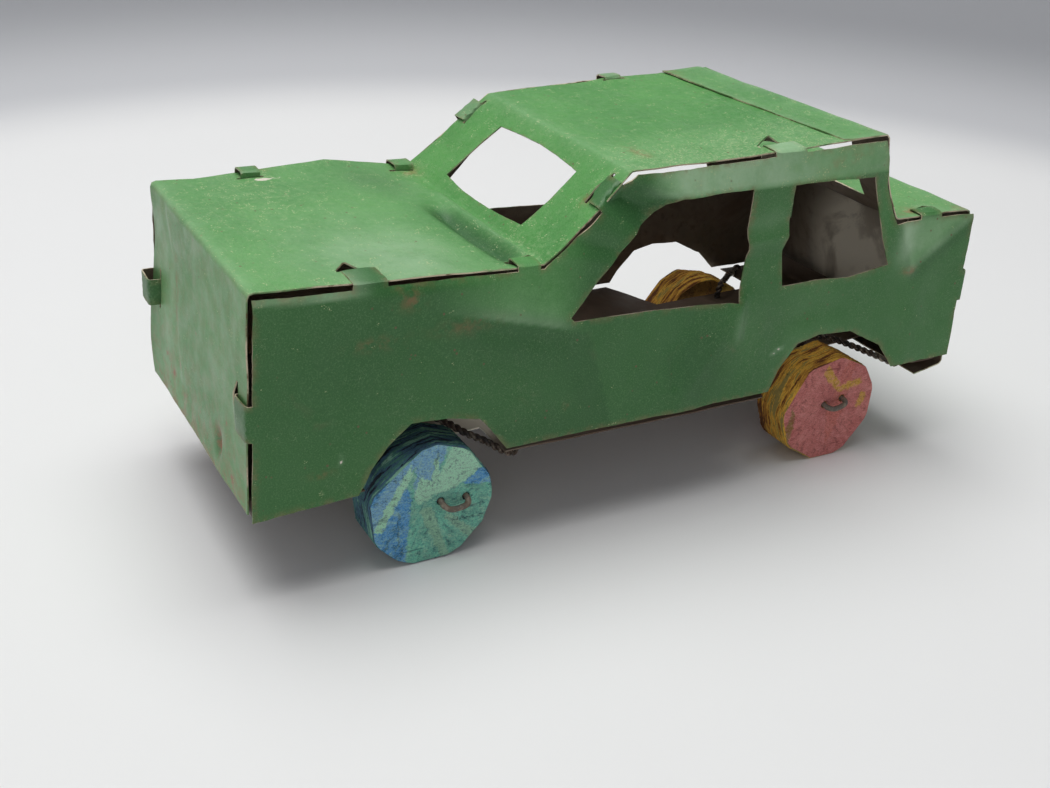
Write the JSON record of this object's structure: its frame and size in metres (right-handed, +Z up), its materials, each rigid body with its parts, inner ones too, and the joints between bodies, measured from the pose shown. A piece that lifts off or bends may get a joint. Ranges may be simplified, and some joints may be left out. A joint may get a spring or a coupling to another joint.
{
  "type": "toy car",
  "caption": "Hand-made tin saloon car toy with open windows, slit-and-tab body panels, and carved foam wheels fixed to wire axles that turn in twisted-wire hangers.",
  "frame": {"origin": "on the ground, under the middle of the car", "axes": "+Z up, -Y towards the nose, +X towards the car's left side"},
  "size_m": [0.1, 0.235, 0.108],
  "materials": {
    "green_paint": "worn green paint on tin sheet, chipped to rust along the edges",
    "bare_tin": "dull brownish tin with a worn lacquer",
    "rusty_wire": "dark rusty iron wire",
    "blue_foam": "knife-cut foam rubber, marbled blue and green",
    "pink_foam": "knife-cut foam rubber, pink face with yellow and ochre bands",
    "ochre_foam": "knife-cut foam rubber, ochre and brown bands"
  },
  "bodies": {
    "car_body": {"front_skin": "green_paint", "tail_skin": "green_paint", "left_side": "green_paint", "right_side": "green_paint", "floor_pan": "bare_tin", "front_left_hanger": "rusty_wire", "front_right_hanger": "rusty_wire", "rear_left_hanger": "rusty_wire", "rear_right_hanger": "rusty_wire"},
    "front_wheelset": {"front_axle": "rusty_wire", "front_left_wheel": "blue_foam", "front_right_wheel": "ochre_foam"},
    "rear_wheelset": {"rear_axle": "rusty_wire", "rear_left_wheel": "pink_foam", "rear_right_wheel": "ochre_foam"}
  },
  "joints": [
    {"name": "front_axle_spin", "type": "hinge", "parent": "car_body", "child": "front_wheelset", "pos_m": [0, -0.0664, 0.018], "axis": [1, 0, 0], "continuous": true},
    {"name": "rear_axle_spin", "type": "hinge", "parent": "car_body", "child": "rear_wheelset", "pos_m": [0, 0.0744, 0.0174], "axis": [1, 0, 0], "continuous": true}
  ]
}
